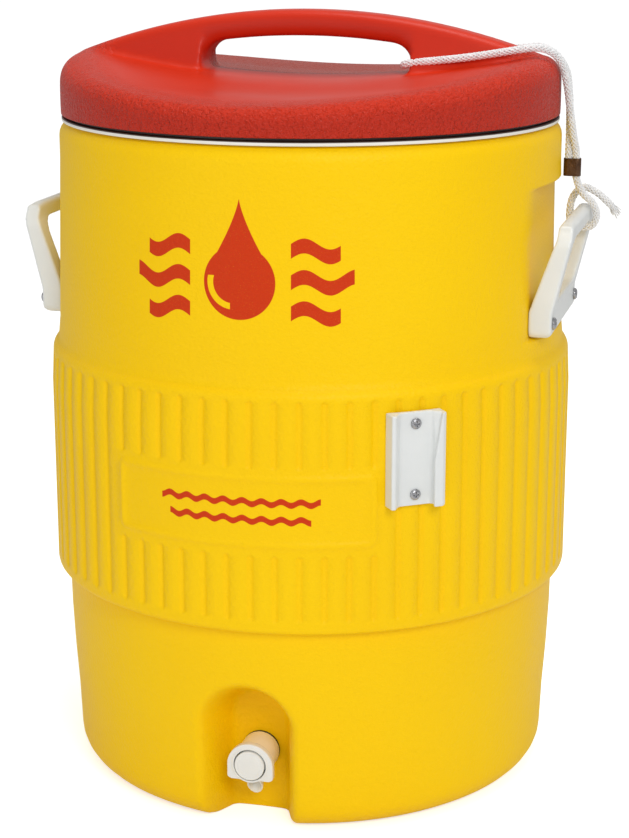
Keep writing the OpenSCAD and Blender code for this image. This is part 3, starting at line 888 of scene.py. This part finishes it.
softened("spigot_body", "tap_body", cream, 0.00055, 4, reshape=slant_mouth)
gloss, _, _ = moulded("tap_white", (240, 240, 236), (230, 230, 226), 0.2, 900.0, 0.00001, 60.0)


def cap_reach(angle):
    """Distance from the button's middle to the cap's outline at an angle, in millimetres."""
    half_width = 16.4
    chin = 11.2
    arch_mid = -0.9
    least = 12.9
    s = math.sin(angle)
    c = math.cos(angle)
    to_arch = arch_mid * s + math.sqrt(half_width**2 - (arch_mid * c) ** 2)
    if to_arch * s >= arch_mid:
        return to_arch
    to_side = half_width / max(abs(c), 0.01)
    return max(float(soft_min(to_side, chin / max(-s, 0.01), 6.0)), least)


def bezel_reach(angle):
    """The same for the round bezel that stands out round the button."""
    return 12.7


def bore_reach(angle):
    """The same for the bore that the button slides in."""
    return 11.4


cap_low, cap_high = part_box("spigot_cap")
button_low, button_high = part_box("spigot_button")
button_mid = (button_low[2] + button_high[2]) / 2
cap_face = cap_low[1] + 0.0007
bm = bmesh.new()
loops = []
for y, reach_at in (
    (cap_high[1], cap_reach), (cap_face, cap_reach), (cap_face, bezel_reach),
    (cap_low[1], bezel_reach), (cap_low[1], bore_reach), (cap_high[1], bore_reach),
):
    ring = []
    for degrees in range(0, 360, 2):
        angle = math.radians(degrees)
        out = reach_at(angle) / 1000
        ring.append(bm.verts.new((out * math.cos(angle), y, button_mid + out * math.sin(angle))))
    loops.append([bm.edges.new(pair) for pair in zip(ring, ring[1:] + ring[:1])])
for first, second in zip(loops, loops[1:] + loops[:1]):
    bmesh.ops.bridge_loops(bm, edges=first + second)
tap_cap = finished(bm, "tap_cap", None)
evened(tap_cap, 0.0005, 4)
coated(tap_cap, gloss)
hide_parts("spigot_cap")
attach(tap_cap, "root")
softened("spigot_button", "tap_button", gloss, 0.00045, 3, "button")

# The return spring: six turns of stainless steel wire round the stem, behind the button.
spring_steel, spring_shader, _ = moulded(
    "spring_steel", (178, 178, 182), (150, 150, 155), 0.3, 900.0, 0.00001, 300.0
)
spring_shader.inputs["Metallic"].default_value = 1.0
wire_r = 0.00045
coil_turns = 6
coil_points = 289
spring_low, spring_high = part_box("spigot_spring")
spring_mid = [(a + b) / 2 for a, b in zip(spring_low, spring_high)]
coil_r = (spring_high[0] - spring_low[0]) / 2 - wire_r
turns = np.linspace(0, 2 * coil_turns * math.pi, coil_points)
coil = np.stack(
    [
        spring_mid[0] + coil_r * np.cos(turns),
        np.linspace(spring_high[1] - wire_r, spring_low[1] + wire_r, coil_points),
        spring_mid[2] + coil_r * np.sin(turns),
    ],
    axis=1,
)
spring = tubes("tap_spring", [coil], [wire_r], 2, spring_steel)
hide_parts("spigot_spring")
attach(spring, "root")
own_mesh(spring)


# The liner's rim: a thin white line under the lid, with its edges a little rounded. Its upper
# edge and top, inside the gap below the lid, are painted dark brown as the shade the lid casts there.
liner, _, _ = moulded("white_liner", (238, 236, 226), (228, 226, 215), 0.4, 350.0, 0.00003, 20.0)
rim_white, rim_shader, _ = moulded(
    "rim_line", (242, 240, 232), (230, 228, 218), 0.4, 350.0, 0.00003, 20.0
)
tree = rim_white.node_tree
at = add_node(tree, "SeparateXYZ", Vector=add_node(tree, "TexCoord").outputs["Object"])
flat_at = add_node(tree, "CombineXYZ", X=at.outputs[0], Y=at.outputs[1])
from_middle = add_node(tree, "VectorMath", {"operation": "LENGTH"}, Vector=flat_at.outputs[0])
# Painted shade: dark brown above about 472 mm and beyond about 165 mm from the axis, in the gap.
in_gap = mapped(tree, at.outputs[2], 0.4720, 0.4723)
at_edge = mapped(tree, from_middle.outputs["Value"], 0.165, 0.166)
painted_gap_shade = add_node(tree, "Math", {"operation": "MULTIPLY"}, _0=in_gap, _1=at_edge)
clean = rim_shader.inputs["Base Color"].links[0].from_socket
shaded = add_node(tree, "MixRGB", Fac=painted_gap_shade.outputs[0], Color1=clean, Color2=srgb(58, 36, 28))
tree.links.new(shaded.outputs[0], rim_shader.inputs["Base Color"])
eased("liner_rim", "rim_ring", rim_white, 0.0008, segments=3)


# The pieces inside: the liner's tank and the lid's plug in white polyethylene, foam between the
# walls, the tap's white stem and nut, and its rubber seal and washers. They keep their CAD shape.
rubber, _, _ = moulded("seal_rubber", (46, 47, 50), (34, 35, 38), 0.7, 900.0, 0.00003, 120.0)
for names, material in (
    (("inner_liner",), liner),
    # The lid's plug takes the rim's material, so it gets the same painted shade where it shows in the
    # gap.
    (("lid_liner",), rim_white),
    (("foam_insulation",), foam),
    (("spigot_stem", "spigot_nut"), gloss),
    (("spigot_seal", "spigot_washer_outer", "spigot_washer_inner"), rubber),
):
    for name in names:
        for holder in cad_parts[name].material_slots:
            holder.material = material


# Studio: a white room with a pale paper floor, a soft light from the upper right, a weak fill from
# the left and a light overhead. The room and the floor look brighter to the camera than they light.
world = bpy.context.scene.world or bpy.data.worlds.new("studio")
bpy.context.scene.world = world
world.use_nodes = True
backdrop = world.node_tree.nodes["Background"]
backdrop.inputs["Color"].default_value = (1, 1, 1, 1)
seen = add_node(world.node_tree, "LightPath")
glow = mapped(world.node_tree, seen.outputs["Is Camera Ray"], 0.0, 1.0, 0.5, 1.05)
world.node_tree.links.new(glow, backdrop.inputs["Strength"])
for name, spot_at, size, power in (
    ("key", (1.2, -2.0, 1.7), 0.9, 22.5),
    ("fill", (-0.9, -1.9, 0.7), 1.2, 3.6),
    ("top", (0.15, -0.05, 2.0), 0.7, 9.0),
):
    lamp = bpy.data.lights.new(name, "AREA")
    lamp.size = size
    lamp.energy = power
    light = bpy.data.objects.new(name, lamp)
    light.location = spot_at
    aim = Vector((0, 0, 0.25)) - Vector(spot_at)
    light.rotation_euler = aim.to_track_quat("-Z", "Y").to_euler()
    bpy.context.collection.objects.link(light)
bm = bmesh.new()
bmesh.ops.create_grid(bm, x_segments=2, y_segments=2, size=6)
paper, _, _ = moulded("paper_floor", (250, 250, 250), (247, 247, 247), 0.9, 60.0, 0.00001, 2.0)
tree = paper.node_tree
seen = add_node(tree, "LightPath")
lift = mapped(tree, seen.outputs["Is Camera Ray"], 0.0, 1.0, 0.0, 0.6)
tree.links.new(lift, tree.nodes["Principled BSDF"].inputs["Emission Strength"])
tree.nodes["Principled BSDF"].inputs["Emission Color"].default_value = (1, 1, 1, 1)
floor = finished(bm, "floor", paper, smooth=False)
floor.data.transform(Matrix.Translation((0, 0, cad_box[0][2] - 0.0005)))
